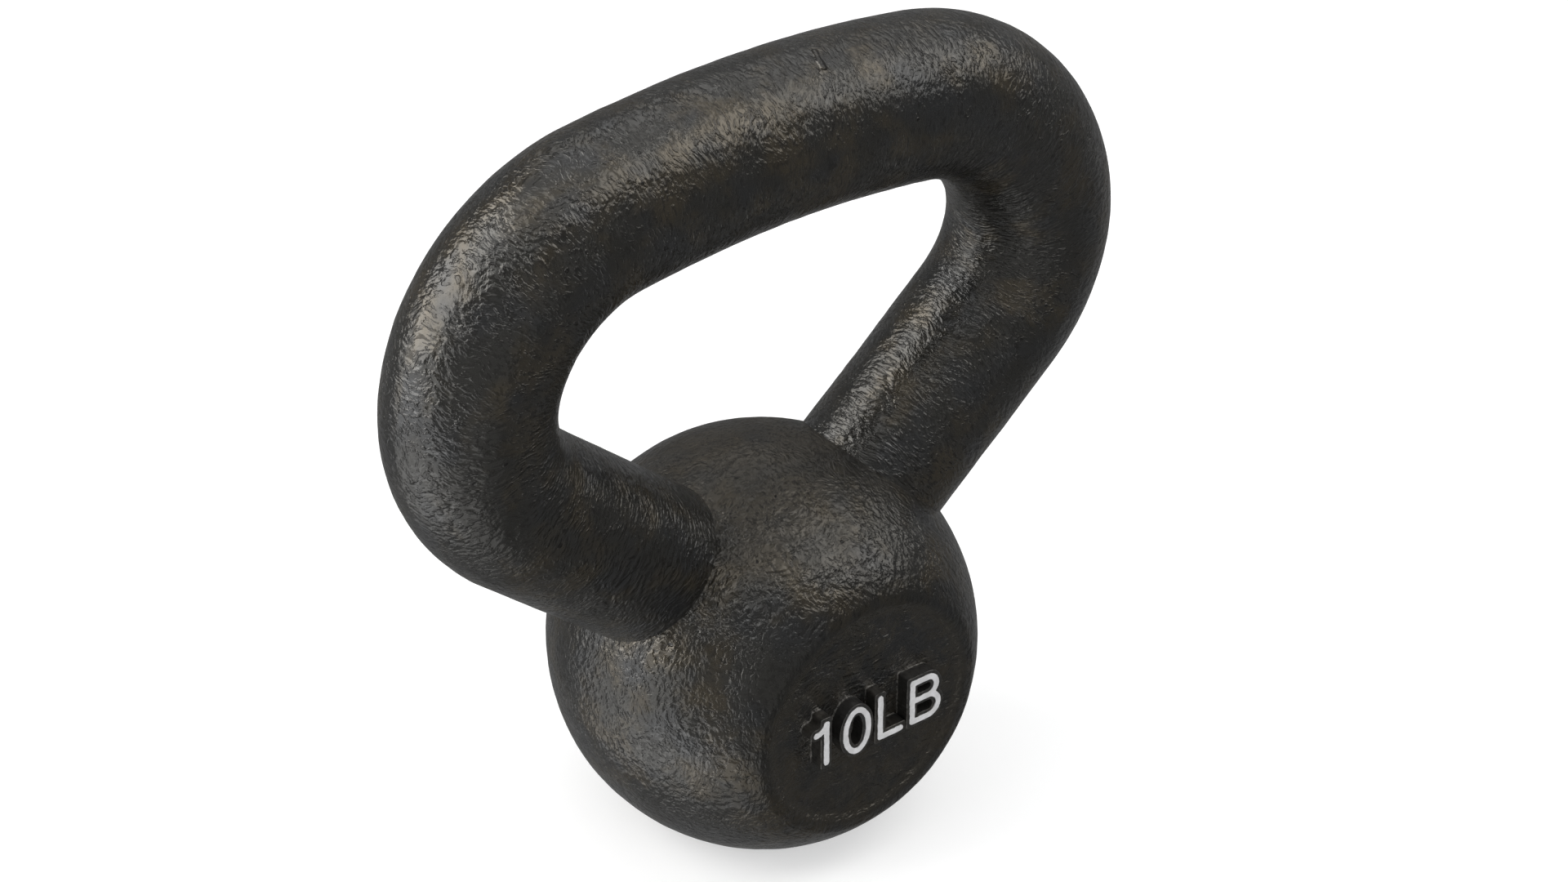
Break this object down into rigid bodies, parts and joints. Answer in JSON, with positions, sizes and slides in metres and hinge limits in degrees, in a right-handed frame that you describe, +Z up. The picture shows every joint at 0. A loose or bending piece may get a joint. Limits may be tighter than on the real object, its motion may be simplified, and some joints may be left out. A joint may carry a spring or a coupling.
{
  "type": "kettlebell",
  "caption": "Small cast-iron kettlebell: a ball with a standing flat and recessed round faces, a bent round-bar handle seated in it, and a raised painted weight mark.",
  "frame": {"origin": "centre of the flat underneath the ball, which the kettlebell stands on", "axes": "+Z up through the ball's centre and the middle of the grip, -Y out of the front face that carries the weight mark, +X along the grip to the right seen from the front"},
  "size_m": [0.1722, 0.0747, 0.1725],
  "materials": {
    "ball_iron": "black-brown coated cast skin, wrinkled and pitted, half gloss",
    "handle_iron": "the same coated cast skin, a little glossier where hands rub it",
    "mark_iron": "the same coated cast skin, with worn edges",
    "mark_paint": "matt white paint, brushed on by hand"
  },
  "bodies": {
    "root": {"ball_body": "ball_iron", "handle": "handle_iron", "numeral_one": "mark_iron", "numeral_zero": "mark_iron", "letter_l": "mark_iron", "letter_b": "mark_iron", "numeral_one_paint": "mark_paint", "numeral_zero_paint": "mark_paint", "letter_l_paint": "mark_paint", "letter_b_paint": "mark_paint"}
  },
  "joints": []
}
